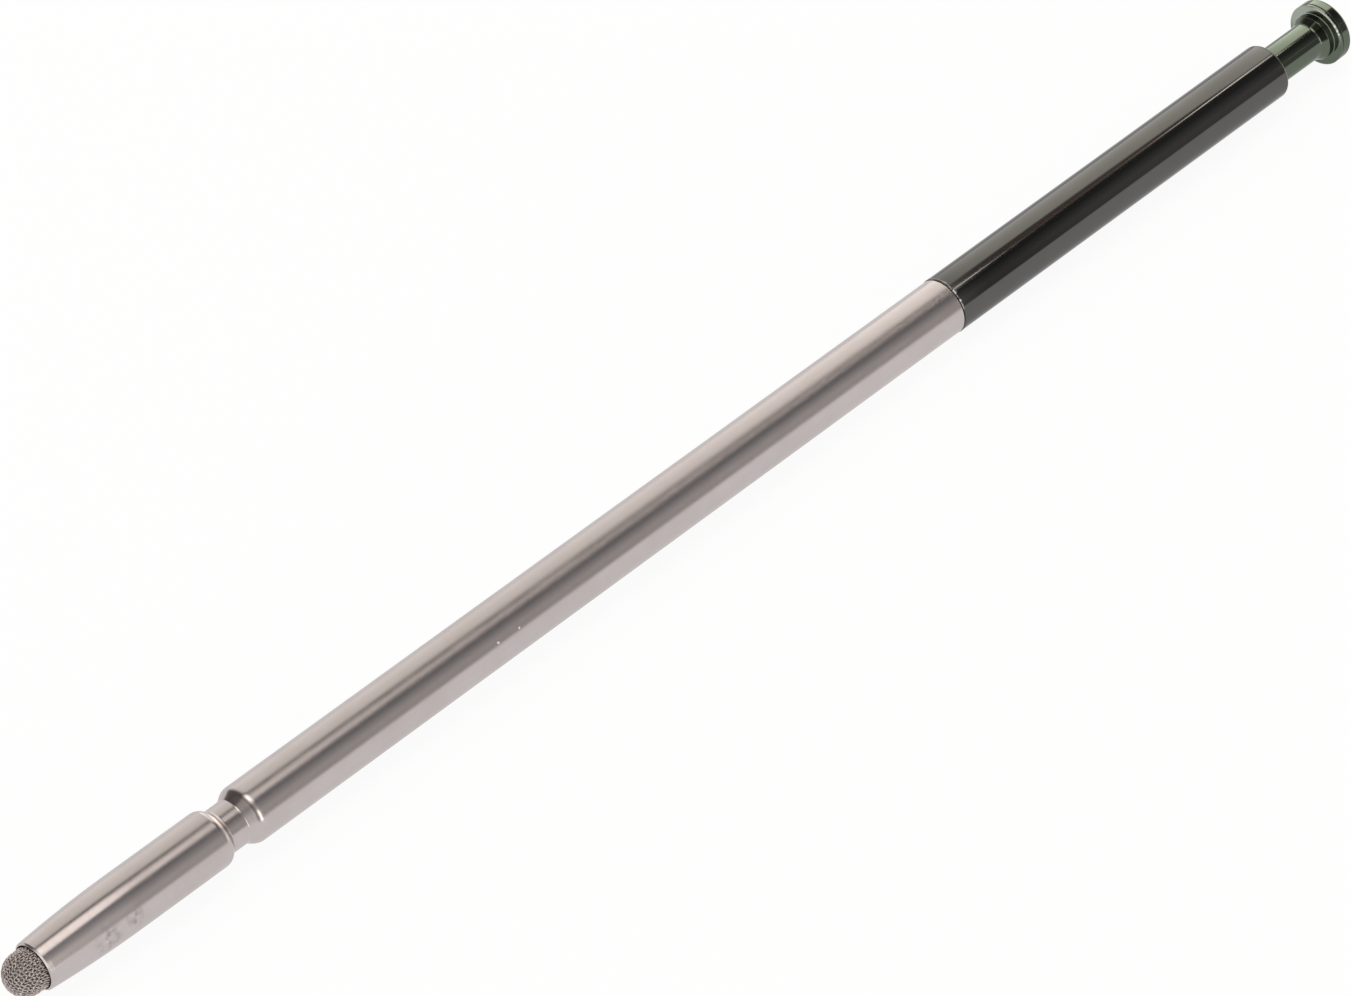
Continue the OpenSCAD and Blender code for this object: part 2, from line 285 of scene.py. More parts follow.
class Board:
    """A shader node tree with short ways to add and join its nodes."""

    MIX_INPUTS = (0, 6, 7)
    MIX_RESULT = 2

    def __init__(self, tree: NodeTree) -> None:
        """Take the tree to work on, and empty it."""
        self.tree = tree
        tree.nodes.clear()

    def feed(self, socket: Socket, value: object) -> None:
        """Join a socket to another, or set its value.

        Args:
            socket: the input.
            value: an output's socket or a plain value.
        """
        if isinstance(value, Socket):
            self.tree.links.new(value, socket)
        else:
            socket.default_value = value

    def add(self, kind: str, settings: dict | None = None, **inputs: object) -> Node:
        """Add a node.

        Args:
            kind: the node's type, without its ShaderNode prefix.
            settings: the node's own properties.
            inputs: values or sockets by input name, with _ for a space.

        Returns:
            The node.
        """
        node = self.tree.nodes.new("ShaderNode" + kind)
        for name, value in (settings or {}).items():
            setattr(node, name, value)
        self.set(node, **inputs)
        return node

    def set(self, node: Node, **inputs: object) -> None:
        """Give a node's inputs their values or sockets, by name with _ for a space."""
        for name, value in inputs.items():
            self.feed(node.inputs[name.replace("_", " ")], value)

    def join(self, node: Node, *values: object, at: Sequence[int] = (0, 1, 2)) -> NodeOutputs:
        """Give a node's inputs their values or sockets, by number.

        Args:
            node: the node.
            values: values or sockets.
            at: the numbers of the inputs that take them.

        Returns:
            The node's outputs.
        """
        for index, value in zip(at, values):
            self.feed(node.inputs[index], value)
        return node.outputs

    def math(self, operation: str, *values: object) -> Socket:
        """Add a Math node on values or sockets, and give its result."""
        return self.join(self.add("Math", {"operation": operation}), *values)[0]

    def fold(self, operation: str, *values: object) -> Socket:
        """Take any number of values or sockets together by one operation."""
        return reduce(partial(self.math, operation), values)

    def times(self, *values: object) -> Socket:
        """Multiply values or sockets."""
        return self.fold("MULTIPLY", *values)

    def away(self, value: object, middle: object) -> Socket:
        """Give how far a value is from a middle."""
        return self.math("ABSOLUTE", self.math("SUBTRACT", value, middle))

    def vector(self, operation: str, a: Socket, b: Socket, result: str = "Vector") -> Socket:
        """Add a Vector Math node on two sockets, and give one of its results."""
        return self.join(self.add("VectorMath", {"operation": operation}), a, b)[result]

    def smooth(self, value: object, low: object, high: object, first: object = 0.0,
               last: object = 1.0) -> Socket:
        """Go smoothly from first, up to where the value is low, to last, from where it is high."""
        return self.add("MapRange", {"interpolation_type": "SMOOTHSTEP"}, Value=value, From_Min=low,
                        From_Max=high, To_Min=first, To_Max=last).outputs[0]

    def mix(self, factor: object, a: object, b: object, blend: str = "MIX") -> Socket:
        """Blend a share of colour b over colour a."""
        node = self.add("Mix", {"data_type": "RGBA", "blend_type": blend})
        return self.join(node, factor, a, b, at=self.MIX_INPUTS)[self.MIX_RESULT]

    def ramp(self, value: object, stops: Sequence[tuple[float, Colour]]) -> Socket:
        """Read a colour off a row of stops.

        Args:
            value: place along the stops.
            stops: place and colour of each.

        Returns:
            The colour's socket.
        """
        node = self.add("ValToRGB", Fac=value)
        elements = node.color_ramp.elements
        elements[0].position, elements[1].position = stops[0][0], stops[-1][0]
        for place, _ in stops[1:-1]:
            elements.new(place)
        for element, (_, colour) in zip(elements, stops):
            element.color = rgba(colour)
        return node.outputs[0]

    def table(self, value: object, rows: Sequence[tuple[float, float]]) -> Socket:
        """Read a number off a table, in straight lines between its rows.

        Args:
            value: what the table is read at.
            rows: values and their numbers, in order.

        Returns:
            The number's socket.
        """
        low, high, peak = rows[0][0], rows[-1][0], max(number for _, number in rows)
        place = self.math("DIVIDE", self.math("SUBTRACT", value, low), high - low)
        stops = [((at - low) / (high - low), (number / peak,) * 3) for at, number in rows]
        return self.times(self.ramp(place, stops), peak)

    def group(self, tree: NodeTree, **inputs: object) -> NodeOutputs:
        """Place a node group with its own values, and give its outputs."""
        return self.add("Group", {"node_tree": tree}, **inputs).outputs

    def raise_marks(self, shader: Node, height: Socket, depth: float) -> None:
        """Give a surface fine relief.

        Args:
            shader: the surface's BSDF.
            height: the relief's pattern.
            depth: its depth, 0 for none.
        """
        if depth > 0:
            bump = self.add("Bump", Height=height, Distance=depth * MM, Strength=1.0)
            self.set(shader, Normal=bump.outputs[0])


def rgba(colour: Colour) -> tuple[float, float, float, float]:
    """Give a colour its alpha."""
    return (*colour, 1.0)


class SharedEffects:
    """Surface effects that several finishes use, each a node group that is built once.

    Levels are the noise values between which a mark fades in. A core is the share of its reach up to
    which a mark is whole.
    """

    LINE_LEVELS = (0.3, 0.7)
    LINE_ROUGHNESS = 0.6
    CLOUD_LEVELS = (0.32, 0.68)
    CLOUD_SCALE = 420.0
    CLOUD_ROUGHNESS = 0.55
    SMEAR_LEVELS = (0.36, 0.7)
    SPECK_LEVELS = (0.3, 0.12)
    NICK_AND_GLINT_CORE = 0.8
    LOSS_LEVELS = (0.7, 0.47)
    EDGE_CORE = 0.6
    SPAN_CORE = 0.7

    def __init__(self) -> None:
        """Build the groups."""
        self.grain = self._grain()
        self.handling_and_glint = self._handling_and_glint()
        self.edge_wear_and_glint = self._edge_wear_and_glint()

    @staticmethod
    def _start(name: str, inputs: dict[str, float | Place],
               outputs: Sequence[str]) -> tuple[Board, Socket, dict[str, Socket], Node]:
        """Start a group.

        Args:
            name: the group's name.
            inputs: its inputs and their first values.
            outputs: its outputs.

        Returns:
            The board, the place on the surface, the inputs, and the node that takes the outputs.
        """
        tree = bpy.data.node_groups.new(name, "ShaderNodeTree")
        for label, value in inputs.items():
            kind = "NodeSocketVector" if isinstance(value, tuple) else "NodeSocketFloat"
            tree.interface.new_socket(name=label, in_out="INPUT", socket_type=kind).default_value = value
        for label in outputs:
            tree.interface.new_socket(name=label, in_out="OUTPUT", socket_type="NodeSocketFloat")
        board = Board(tree)
        place = board.add("TexCoord").outputs["Object"]
        source, sink = tree.nodes.new("NodeGroupInput"), tree.nodes.new("NodeGroupOutput")
        return board, place, {s.name: s for s in source.outputs if s.name}, sink

    def _grain(self) -> NodeTree:
        """Fine tool marks: noise that is stretched along one direction.

        Returns:
            The group.
        """
        board, place, given, out = self._start(
            "tool_marks", {"Detail": 3.0, "Scale": (900.0, 900.0, 900.0)}, ("Lines", "Cloud"))
        lines = board.add("TexNoise", Vector=board.vector("MULTIPLY", place, given["Scale"]), Scale=1.0,
                          Detail=given["Detail"], Roughness=self.LINE_ROUGHNESS)
        cloud = board.add("TexNoise", Vector=place, Scale=self.CLOUD_SCALE, Detail=4.0,
                          Roughness=self.CLOUD_ROUGHNESS)
        board.set(out, Lines=board.smooth(lines.outputs[0], *self.LINE_LEVELS),
                  Cloud=board.smooth(cloud.outputs[0], *self.CLOUD_LEVELS))
        return board.tree

    def _handling_and_glint(self) -> NodeTree:
        """Marks of handling round one spot: soft smears, small bright specks and one ragged nick; on the
        head the nick is a painted highlight, not a mark of handling.

        Returns:
            The group.
        """
        board, place, given, out = self._start(
            "handling_and_glint_marks", {"Reach": 0.002, "Scale": 1500.0, "Centre": (0.0, 0.0, 0.0)},
            ("Smear", "Speck", "Nick"))
        away = board.vector("DISTANCE", place, given["Centre"], "Value")
        near = board.smooth(away, given["Reach"], 0.0)
        noise = board.add("TexNoise", Vector=place, Scale=given["Scale"], Detail=3.0)
        dots = board.add("TexVoronoi", Vector=place, Scale=given["Scale"])
        smear = board.smooth(noise.outputs[0], *self.SMEAR_LEVELS)
        speck = board.smooth(dots.outputs["Distance"], *self.SPECK_LEVELS)
        ragged = board.math("MULTIPLY_ADD", noise.outputs[0], given["Reach"], away)
        nick_and_glint = board.smooth(ragged, given["Reach"], board.times(given["Reach"], self.NICK_AND_GLINT_CORE))
        board.set(out, Nick=nick_and_glint, Smear=board.times(smear, near), Speck=board.times(speck, near))
        return board.tree

    def _edge_wear_and_glint(self) -> NodeTree:
        """Ragged wear of a turned edge, within a short reach of its station and a span of one place; on
        some edges it also paints a highlight.

        Returns:
            The group.
        """
        board, place, given, out = self._start(
            "edge_wear_and_glint", {"Station": 0.0, "Reach": 0.0001, "Raggedness": 0.8, "Scale": 2600.0,
                          "Span": 1.0, "Centre": (0.0, 0.0, 0.0)}, ("Mask",))
        x = board.add("SeparateXYZ", Vector=place).outputs[0]
        noise = board.add("TexNoise", Vector=place, Scale=given["Scale"], Detail=2.0).outputs[0]
        lost = board.times(board.smooth(noise, *self.LOSS_LEVELS), given["Raggedness"])
        limit = board.times(given["Reach"], board.math("SUBTRACT", 1.0, lost))
        edge = board.smooth(board.away(x, given["Station"]), limit, board.times(limit, self.EDGE_CORE))
        far = board.vector("DISTANCE", place, given["Centre"], "Value")
        near = board.smooth(far, given["Span"], board.times(given["Span"], self.SPAN_CORE))
        board.set(out, Mask=board.times(edge, near))
        return board.tree


@cache
def shared_effects() -> SharedEffects:
    """Build the shared effects once, and give them."""
    return SharedEffects()


def new_material(name: str) -> tuple[Board, Node, Material]:
    """Start a material with one Principled BSDF.

    Args:
        name: the material's name.

    Returns:
        The board, the BSDF and the material.
    """
    material = bpy.data.materials.new(name)
    material.use_nodes = True
    board = Board(material.node_tree)
    shader = board.add("BsdfPrincipled")
    board.add("OutputMaterial", Surface=shader.outputs[0])
    return board, shader, material


@dataclass(frozen=True)
class WearAndGlintEdge:
    """Plating worn through on an edge, which on some edges is also a painted highlight: its station and
    reach, its middle in metres and its span.
    """

    station: float
    reach: float
    raggedness: float
    centre: Place
    span: float


@dataclass(frozen=True)
class HandlingAndGlintSpot:
    """A spot with marks of handling, which on the head are a painted highlight: its place in metres, its
    reach and the scale of its marks.
    """

    centre: Place
    reach: float
    scale: float
    smear: float = 0.0
    speck: float = 0.0
    nick_and_glint: float = 0.0


LINE_SHARE = 0.35
WEAR_AND_GLINT_ROUGHER = 0.16
SMEAR_SHADE = 0.5
SMEAR_ROUGHER = 0.06
SPECK_ROUGHER = 0.3
# Colour of specks and nicks, which also paints the highlight on the head's rim.
SPECK_AND_GLINT_COLOUR = (0.95, 0.94, 0.92)


@dataclass(frozen=True)
class Metal:
    """A metal finish with tool marks, slight clouds, worn edges and handling marks, some of which are
    painted highlights.
    """

    name: str
    colour: Colour
    cloud_colour: Colour
    roughness: float
    spread: float
    run: GrainRun = GrainRun.AROUND
    fine: float = 16000.0
    coarse: float = 500.0
    mark_depth: float = 0.0
    edge_tint: Colour = (1.0, 1.0, 1.0)
    bare_and_glint_colour: Colour = (0.62, 0.6, 0.58)
    edges: tuple[WearAndGlintEdge, ...] = ()
    spots: tuple[HandlingAndGlintSpot, ...] = ()

    def make(self) -> Material:
        """Build the material.

        Returns:
            The material.
        """
        board, shader, material = new_material(self.name)
        effects = shared_effects()
        around = self.run is GrainRun.AROUND
        scale = (self.fine, self.coarse, self.coarse) if around else (self.coarse, self.fine, self.fine)
        grain = board.group(effects.grain, Scale=scale)
        both = board.times(grain["Cloud"], 1 - LINE_SHARE)
        both = board.math("MULTIPLY_ADD", grain["Lines"], LINE_SHARE, both)
        colour = board.mix(both, rgba(self.colour), rgba(self.cloud_colour))
        rough = board.math("MULTIPLY_ADD", both, self.spread, self.roughness - self.spread / 2)
        # Worn edges take the bare colour, which on the head's bevel and the sleeve's mouth is also a
        # painted highlight.
        for edge in self.edges:
            wear_and_glint = board.group(effects.edge_wear_and_glint, Station=AXIS.along(edge.station), Reach=edge.reach * MM,
                               Raggedness=edge.raggedness, Centre=edge.centre,
                               Span=edge.span * MM)["Mask"]
            colour = board.mix(wear_and_glint, colour, rgba(self.bare_and_glint_colour))
            rough = board.math("MULTIPLY_ADD", wear_and_glint, WEAR_AND_GLINT_ROUGHER, rough)
        for spot in self.spots:
            marks = board.group(effects.handling_and_glint, Centre=spot.centre, Reach=spot.reach * MM,
                                Scale=spot.scale)
            # Specks and nicks brighten the colour; the head's nicks are a painted highlight.
            smear = board.times(marks["Smear"], spot.smear)
            speck = board.times(marks["Speck"], spot.speck)
            speck = board.math("MULTIPLY_ADD", marks["Nick"], spot.nick_and_glint, speck)
            colour = board.mix(smear, colour, rgba(tuple(SMEAR_SHADE * c for c in self.colour)))
            colour = board.mix(speck, colour, rgba(SPECK_AND_GLINT_COLOUR))
            rough = board.math("MULTIPLY_ADD", speck, SPECK_ROUGHER, rough)
            rough = board.math("MULTIPLY_ADD", smear, SMEAR_ROUGHER, rough)
        board.set(shader, Base_Color=colour, Roughness=rough, Metallic=1.0,
                  Specular_Tint=rgba(self.edge_tint))
        board.raise_marks(shader, grain["Lines"], self.mark_depth)
        return material


@dataclass(frozen=True)
class Plain:
    """A finish without wear, for mouldings, yarn and the painted shade behind the knit: two mixed colours
    and a fine surface.
    """

    name: str
    colour: Colour
    other_colour: Colour
    roughness: float
    soft: float = 0.0
    soft_reach: float = 0.5
    metallic: float = 0.0
    pattern: Pattern = Pattern.CLOUD
    fine: float = 5200.0
    detail: float = 3.0
    spread: float = 0.12
    mark_depth: float = 0.002

    def make(self) -> Material:
        """Build the material.

        Returns:
            The material.
        """
        board, shader, material = new_material(self.name)
        grain = board.group(shared_effects().grain, Scale=(self.fine,) * 3, Detail=self.detail)
        colour = board.mix(grain[self.pattern.value], rgba(self.colour), rgba(self.other_colour))
        rough = board.math("MULTIPLY_ADD", grain["Lines"], self.spread, self.roughness)
        board.set(shader, Base_Color=colour, Roughness=rough, Metallic=self.metallic,
                  Subsurface_Weight=self.soft, Subsurface_Scale=self.soft_reach * MM)
        board.raise_marks(shader, grain["Lines"], self.mark_depth)
        return material


# Finishes of this pen

STEEL = (0.535, 0.487, 0.478)
STEEL_CLOUD = (0.5, 0.452, 0.44)
STEEL_TINT = (0.88, 0.87, 0.86)
STEEL_MARKS = 0.00005
BARREL_NICKS = (
    HandlingAndGlintSpot((-0.01896, -0.00144, 0.00299), 0.19, 12000.0, nick_and_glint=1.0),
    HandlingAndGlintSpot((-0.01732, -0.00146, 0.00297), 0.14, 12000.0, nick_and_glint=1.0),
)
NOSE_SMEARS = (
    HandlingAndGlintSpot((-0.0482, -0.0016, 0.0023), 1.2, 2300.0, 0.95, 0.15),
    HandlingAndGlintSpot((-0.0463, -0.00163, 0.0025), 0.8, 2300.0, 0.95, 0.15),
)
NOSE_STEEL = Metal("nose_satin_steel", STEEL, STEEL_CLOUD, 0.2, 0.05, mark_depth=STEEL_MARKS,
                   edge_tint=STEEL_TINT, spots=NOSE_SMEARS)
BARREL_STEEL = Metal("barrel_satin_steel", STEEL, STEEL_CLOUD, 0.21, 0.05, GrainRun.ALONG,
                     mark_depth=STEEL_MARKS, edge_tint=STEEL_TINT, spots=BARREL_NICKS)
SLEEVE_NICKS = (
    HandlingAndGlintSpot((0.01919, -0.00082, 0.00358), 0.3, 5200.0, nick_and_glint=0.65),
    HandlingAndGlintSpot((0.01919, -0.00129, 0.00323), 0.22, 5200.0, nick_and_glint=0.7),
)
SLEEVE_EDGES = (
    WearAndGlintEdge(73.16, 0.09, 0.97, (0.01919, -0.0008, 0.0036), 1.4),
    WearAndGlintEdge(73.16, 0.15, 0.35, (0.01918, 0.00025, 0.00376), 0.95),
    # At the mouth the worn edge is partly a painted highlight, a bright line along the near lower side of
    # the rim.
    WearAndGlintEdge(102.4, 0.2, 0.2, (0.04842, -0.00173, 0.00243), 1.4),
)
DARK_PLATE = Metal("dark_plating", (0.118, 0.113, 0.108), (0.108, 0.106, 0.1), 0.05, 0.01, GrainRun.ALONG,
                   edge_tint=(0.74, 0.74, 0.75), bare_and_glint_colour=(0.44, 0.42, 0.41), edges=SLEEVE_EDGES,
                   spots=SLEEVE_NICKS)
# Partly worn plating, partly painted highlight: a light ring on the head's bevel where the light catches
# it.
HEAD_EDGES = (
    WearAndGlintEdge(107.04, 0.06, 0.1, (0.05303, 0.00048, 0.00394), 3.0),
)
# Painted highlight: three bright nicks along the head's rim stand in for a glint of light, not for wear.
HEAD_PAINTED_GLINTS = (
    HandlingAndGlintSpot((0.05305, -0.00136, 0.0034), 0.22, 3000.0, nick_and_glint=0.7),
    HandlingAndGlintSpot((0.05305, -0.00154, 0.0032), 0.26, 3000.0, nick_and_glint=0.7),
    HandlingAndGlintSpot((0.05305, -0.00169, 0.00298), 0.22, 3000.0, nick_and_glint=0.55),
)
# Its bare colour also paints the highlight on the head's bevel.
GREEN_PLATE = Metal("green_plating", (0.121, 0.139, 0.109), (0.111, 0.13, 0.099), 0.045, 0.01,
                    edge_tint=(0.74, 0.76, 0.74), bare_and_glint_colour=(0.33, 0.36, 0.31), edges=HEAD_EDGES,
                    spots=HEAD_PAINTED_GLINTS)
JOINT_STEEL = Metal("joint_steel", (0.06, 0.056, 0.053), (0.035, 0.033, 0.03), 0.45, 0.12)
SPRING_STEEL = Metal("spring_steel", (0.5, 0.49, 0.47), (0.42, 0.41, 0.39), 0.28, 0.08, GrainRun.ALONG)
CRIMP_BRASS = Metal("crimp_brass", (0.6, 0.42, 0.16), (0.5, 0.34, 0.12), 0.3, 0.1)
ACETAL = Plain("acetal", (0.8, 0.77, 0.68), (0.74, 0.71, 0.62), 0.45)
SILICONE = Plain("silicone", (0.62, 0.62, 0.6), (0.55, 0.55, 0.53), 0.55, 0.2)
YARN = Plain("silvered_yarn", (0.78, 0.69, 0.665), (0.24, 0.211, 0.202), 0.18, metallic=0.85,
             pattern=Pattern.LINES, fine=9000.0, detail=4.0, spread=0.2, mark_depth=0.0)
# Painted shade: the dark colour of the sheet behind the knit stands in for the shade in the gaps between
# its loops.
KNIT_SHADE = Plain("knit_shade_sheet", (0.27, 0.235, 0.222), (0.19, 0.166, 0.157), 0.8)


def own(piece: Piece, body: Body, slot: str, material: Material, *nodes: str) -> Piece:
    """Dress a new piece and join it to the frame.

    Args:
        piece: the piece, in place.
        body: the body that it rides on.
        slot: not used.
        material: its material.
        nodes: the solids that it stands for.

    Returns:
        The piece.
    """
    piece.data.materials.append(material)
    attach(piece, body.value)
    if nodes:
        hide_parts(*nodes)
    return piece


def dress_node(name: str, material: Material) -> Piece:
    """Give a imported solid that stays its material.

    Args:
        name: the node.
        material: its material.

    Returns:
        The node's object.
    """
    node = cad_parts[name]
    if not node.material_slots:
        node.data.materials.append(material)
    for slot in node.material_slots:
        slot.material = material
    return node


@dataclass
class TurnedPart(ABC):
    """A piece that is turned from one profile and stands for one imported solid."""

    PIECE: ClassVar[str]
    NODE: ClassVar[str]
    SLOT: ClassVar[str]
    FINISH: ClassVar[Metal]
    BODY: ClassVar[Body] = Body.PEN

    @abstractmethod
    def profile(self) -> list[Corner]:
        """Give the corners of the profile."""

    def build(self) -> list[Piece]:
        """Turn the piece and dress it."""
        piece = lathe(self.PIECE, self.profile())
        return [own(piece, self.BODY, self.SLOT, self.FINISH.make(), self.NODE)]


@dataclass
class TipCap:
    """The knitted conductive cap on its soft core."""

    radius: float = 1.28
    cloth: float = 0.16
    shoulder: float = 2.21
    tail_radius: float = 0.8
    tail_end: float = 4.81
    wale: float = 0.46
    course: float = 0.2
    loop_height: float = 0.185
    loop_swing: float = 0.052
    loop_lift: float = 0.027
    ply: float = 0.027
    ply_count: int = 3
    ply_twist: float = 0.3
    ply_sides: int = 7
    steps: int = 30
    shortest_run: int = 4
    turn: float = math.radians(20)
    knit_gap: float = 0.06
    shade_sheet_depth: float = 0.14
    shade_sheet_gap: float = 0.013
    gap: float = 0.02
    shoulder_round: float = 0.06
    hem_round: float = 0.02
    tail_fillet: float = 0.05
    tail_round: float = 0.04
    arc_steps: int = 24

    def build(self) -> list[Piece]:
        """Build the knit, the dark sheet of painted shade behind it and the core, and dress them.

        Returns:
            The three pieces.
        """
        return [
            own(self._knit(), Body.PEN, "woven_mesh", YARN.make(), "tip_mesh"),
            # The dark sheet paints the shade that falls in the gaps between the loops.
            own(self._shade_sheet(), Body.PEN, "woven_mesh", KNIT_SHADE.make(), "tip_mesh"),
            own(self._core(), Body.PEN, "silicone", SILICONE.make(), "tip_core"),
        ]

    def _mid_radius(self) -> float:
        """Give the radius of the knit's middle surface."""
        return self.radius - self.loop_lift - 2 * self.ply

    def _on_dome(self, line: Sequence[np.ndarray]) -> np.ndarray:
        """Draw flat knit over the dome without changing its area.

        Args:
            line: places along the course, along the wale and above the knit's middle surface.

        Returns:
            Points in metres.
        """
        mid, (x, y, lift) = self._mid_radius(), line
        flat, angle = np.hypot(x, y), np.arctan2(y, x) + self.turn
        polar = 2 * np.arcsin(np.clip(flat / (2 * mid), 0, math.sqrt(0.5)))
        past = np.maximum(0, flat**2 - 2 * mid**2) / (2 * mid)
        radial = (mid + lift) * np.sin(polar)
        station = self.radius - (mid + lift) * np.cos(polar) + past
        return np.stack(AXIS.place(radial, station, angle), axis=1)

    def _knit(self) -> Piece:
        """Knit the cap's yarn: rows of loops that hold each other, three plies to the yarn.

        Returns:
            The knit.
        """
        mid = self._mid_radius()
        reach = math.sqrt(2 * mid**2 + 2 * mid * (self.shoulder - self.knit_gap - self.radius))
        rows = math.ceil((reach + self.loop_height) / self.course)
        loops = math.ceil(reach / self.wale) + 1
        t = np.linspace(-loops, loops, 2 * loops * self.steps + 1) * math.tau
        paths: list[np.ndarray] = []
        for row in range(-rows, rows + 1):
            x = self.wale * t / math.tau + self.loop_swing * np.sin(2 * t)
            y = row * self.course + self.loop_height * np.cos(t)
            lift = self.loop_lift * np.cos(2 * t)
            inside = np.hypot(x, y) < reach
            cuts = np.flatnonzero(np.diff(inside.astype(int))) + 1
            for run in np.split(np.arange(len(t)), cuts):
                if inside[run[0]] and len(run) > self.shortest_run:
                    paths += self._plies((x[run], y[run], lift[run]))
        return wire_piece("tip_knit", paths, self.ply, self.ply_sides)

    def _plies(self, line: Sequence[np.ndarray]) -> list[np.ndarray]:
        """Twist the yarn's plies round its middle line.

        Args:
            line: the middle line, flat.

        Returns:
            One path for each ply.
        """
        x, y, lift = line
        run = np.concatenate([[0], np.cumsum(np.hypot(np.diff(x), np.diff(y)))])
        ahead = np.stack([np.gradient(x), np.gradient(y)])
        ahead /= np.linalg.norm(ahead, axis=0)
        paths = []
        for k in range(self.ply_count):
            phase = math.tau * (run / self.ply_twist + k / self.ply_count)
            out, up = self.ply * np.cos(phase), self.ply * np.sin(phase)
            paths.append(self._on_dome((x - ahead[1] * out, y + ahead[0] * out, lift + up)))
        return paths

    def _dome(self, radius: float) -> list[Corner]:
        """Give the quarter circle of a dome round the cap's middle, from the axis outwards."""
        arc = [math.pi / 2 * i / self.arc_steps for i in range(self.arc_steps + 1)]
        return [(radius * math.sin(a), self.radius - radius * math.cos(a), 0) for a in arc]

    def _shade_sheet(self) -> Piece:
        """Make the dark sheet behind the loops, a painted shade for the gaps between them, with its hem
        turned in round the tail.

        Returns:
            The sheet of painted shade.
        """
        outer, inner = self.radius - self.shade_sheet_depth, self.radius - self.cloth - self.shade_sheet_gap
        hem, shoulder = self.tail_radius + self.cloth, self.shoulder - self.gap
        corners = self._dome(outer) + [
            (outer, shoulder, self.shoulder_round), (hem, shoulder, 0),
            (hem, self.tail_end, self.hem_round), (self.tail_radius, self.tail_end, 0),
            (self.tail_radius, self.shoulder - self.cloth, 0), (inner, self.shoulder - self.cloth, 0)]
        corners += reversed(self._dome(inner))
        return lathe("tip_shade_sheet", corners, CAP_SEGMENTS)

    def _core(self) -> Piece:
        """Make the soft core with its tail.

        Returns:
            The core.
        """
        dome, tail = self.radius - self.cloth - self.gap, self.tail_radius - self.gap
        shoulder = self.shoulder - self.cloth - self.gap
        corners = self._dome(dome) + [
            (dome, shoulder, self.shoulder_round), (tail, shoulder, self.tail_fillet),
            (tail, self.tail_end, self.tail_round), (0.0, self.tail_end, 0)]
        return lathe("tip_soft_core", corners, CAP_SEGMENTS)


@dataclass
class Nose(TurnedPart):
    """The turned nose with its curved taper and detent neck."""

    PIECE, NODE, SLOT, FINISH = "nose", "nose_cone", "satin_steel", NOSE_STEEL

    bore: float = 1.34
    rim: float = 1.47
    rim_station: float = 1.86
    rim_chamfer: float = 0.09
    seat: float = 4.81
    radius: float = 1.73
    taper: float = 6.6
    shoulder: float = 14.7
    shoulder_round: float = 0.7
    neck: float = 1.36
    neck_station: float = 15.12
    neck_fillet: float = 0.18
    foot: float = 16.21
    spigot: float = 1.23
    spigot_end: float = 21.21
    bore_round: float = 0.015
    rim_round: float = 0.03
    spigot_round: float = 0.05
    taper_steps: int = 36

    def profile(self) -> list[Corner]:
        """Go from the bore over the taper and the neck to the spigot.

        Returns:
            The corners.
        """
        drop = self.radius - self.rim
        arc = (self.taper**2 + drop**2) / (2 * drop)
        corners = [
            (0.0, self.seat, 0), (self.bore, self.seat, 0), (self.bore, self.rim_station, self.bore_round),
            (self.rim - self.rim_chamfer, self.rim_station, self.rim_round),
            (self.rim, self.rim_station + self.rim_chamfer, self.rim_round)]
        for i in range(1, self.taper_steps + 1):
            run = 2 * self.rim_chamfer + (self.taper - 2 * self.rim_chamfer) * i / self.taper_steps
            rise = math.sqrt(arc**2 - (self.taper - run) ** 2)
            corners.append((self.radius - arc + rise, self.rim_station + run, 0))
        return corners + [
            (self.radius, self.shoulder, self.shoulder_round),
            (self.neck, self.neck_station, self.neck_fillet), (self.neck, self.foot, 0),
            (self.spigot, self.foot, 0), (self.spigot, self.spigot_end, self.spigot_round),
            (0.0, self.spigot_end, 0)]


@dataclass
class Barrel(TurnedPart):
    """The satin barrel tube with its sloping front shoulder."""

    PIECE, NODE, SLOT, FINISH = "barrel", "barrel_tube", "satin_steel", BARREL_STEEL

    radius: float = 1.75
    bore: float = 1.25
    foot_radius: float = 1.36
    foot: float = 16.21
    foot_land: float = 0.12
    foot_fillet: float = 0.6
    slope_end: float = 16.95
    slope_round: float = 0.9
    end: float = 73.115
    chamfer: float = 0.06
    chamfer_round: float = 0.02
    end_round: float = 0.012

    def profile(self) -> list[Corner]:
        """Go from the foot over the slope to the end.

        Returns:
            The corners.
        """
        return [
            (self.bore, self.foot, 0), (self.foot_radius, self.foot, 0),
            (self.foot_radius, self.foot + self.foot_land, self.foot_fillet),
            (self.radius, self.slope_end, self.slope_round),
            (self.radius, self.end - self.chamfer, self.chamfer_round),
            (self.radius - self.chamfer, self.end, self.end_round), (self.bore, self.end, 0)]


@dataclass
class Sleeve(TurnedPart):
    """The dark polished sleeve with its mouth turned in round the rod."""

    PIECE, NODE, SLOT, FINISH = "sleeve", "upper_sleeve", "dark_plate", DARK_PLATE

    radius: float = 1.78
    bore: float = 1.48
    mouth: float = 1.3
    start: float = 73.16
    end: float = 102.4
    lip: float = 0.5
    lip_round: float = 0.05
    mouth_round: float = 0.3
    chamfer: float = 0.05
    chamfer_round: float = 0.02
    start_round: float = 0.015

    def profile(self) -> list[Corner]:
        """Go from the start along the outside and round the mouth.

        Returns:
            The corners.
        """
        return [
            (self.bore, self.start, 0), (self.radius - self.chamfer, self.start, self.start_round),
            (self.radius, self.start + self.chamfer, self.chamfer_round),
            (self.radius, self.end, self.mouth_round),
            (self.mouth, self.end, self.lip_round), (self.mouth, self.end - self.lip, 0),
            (self.bore, self.end - self.lip, 0)]


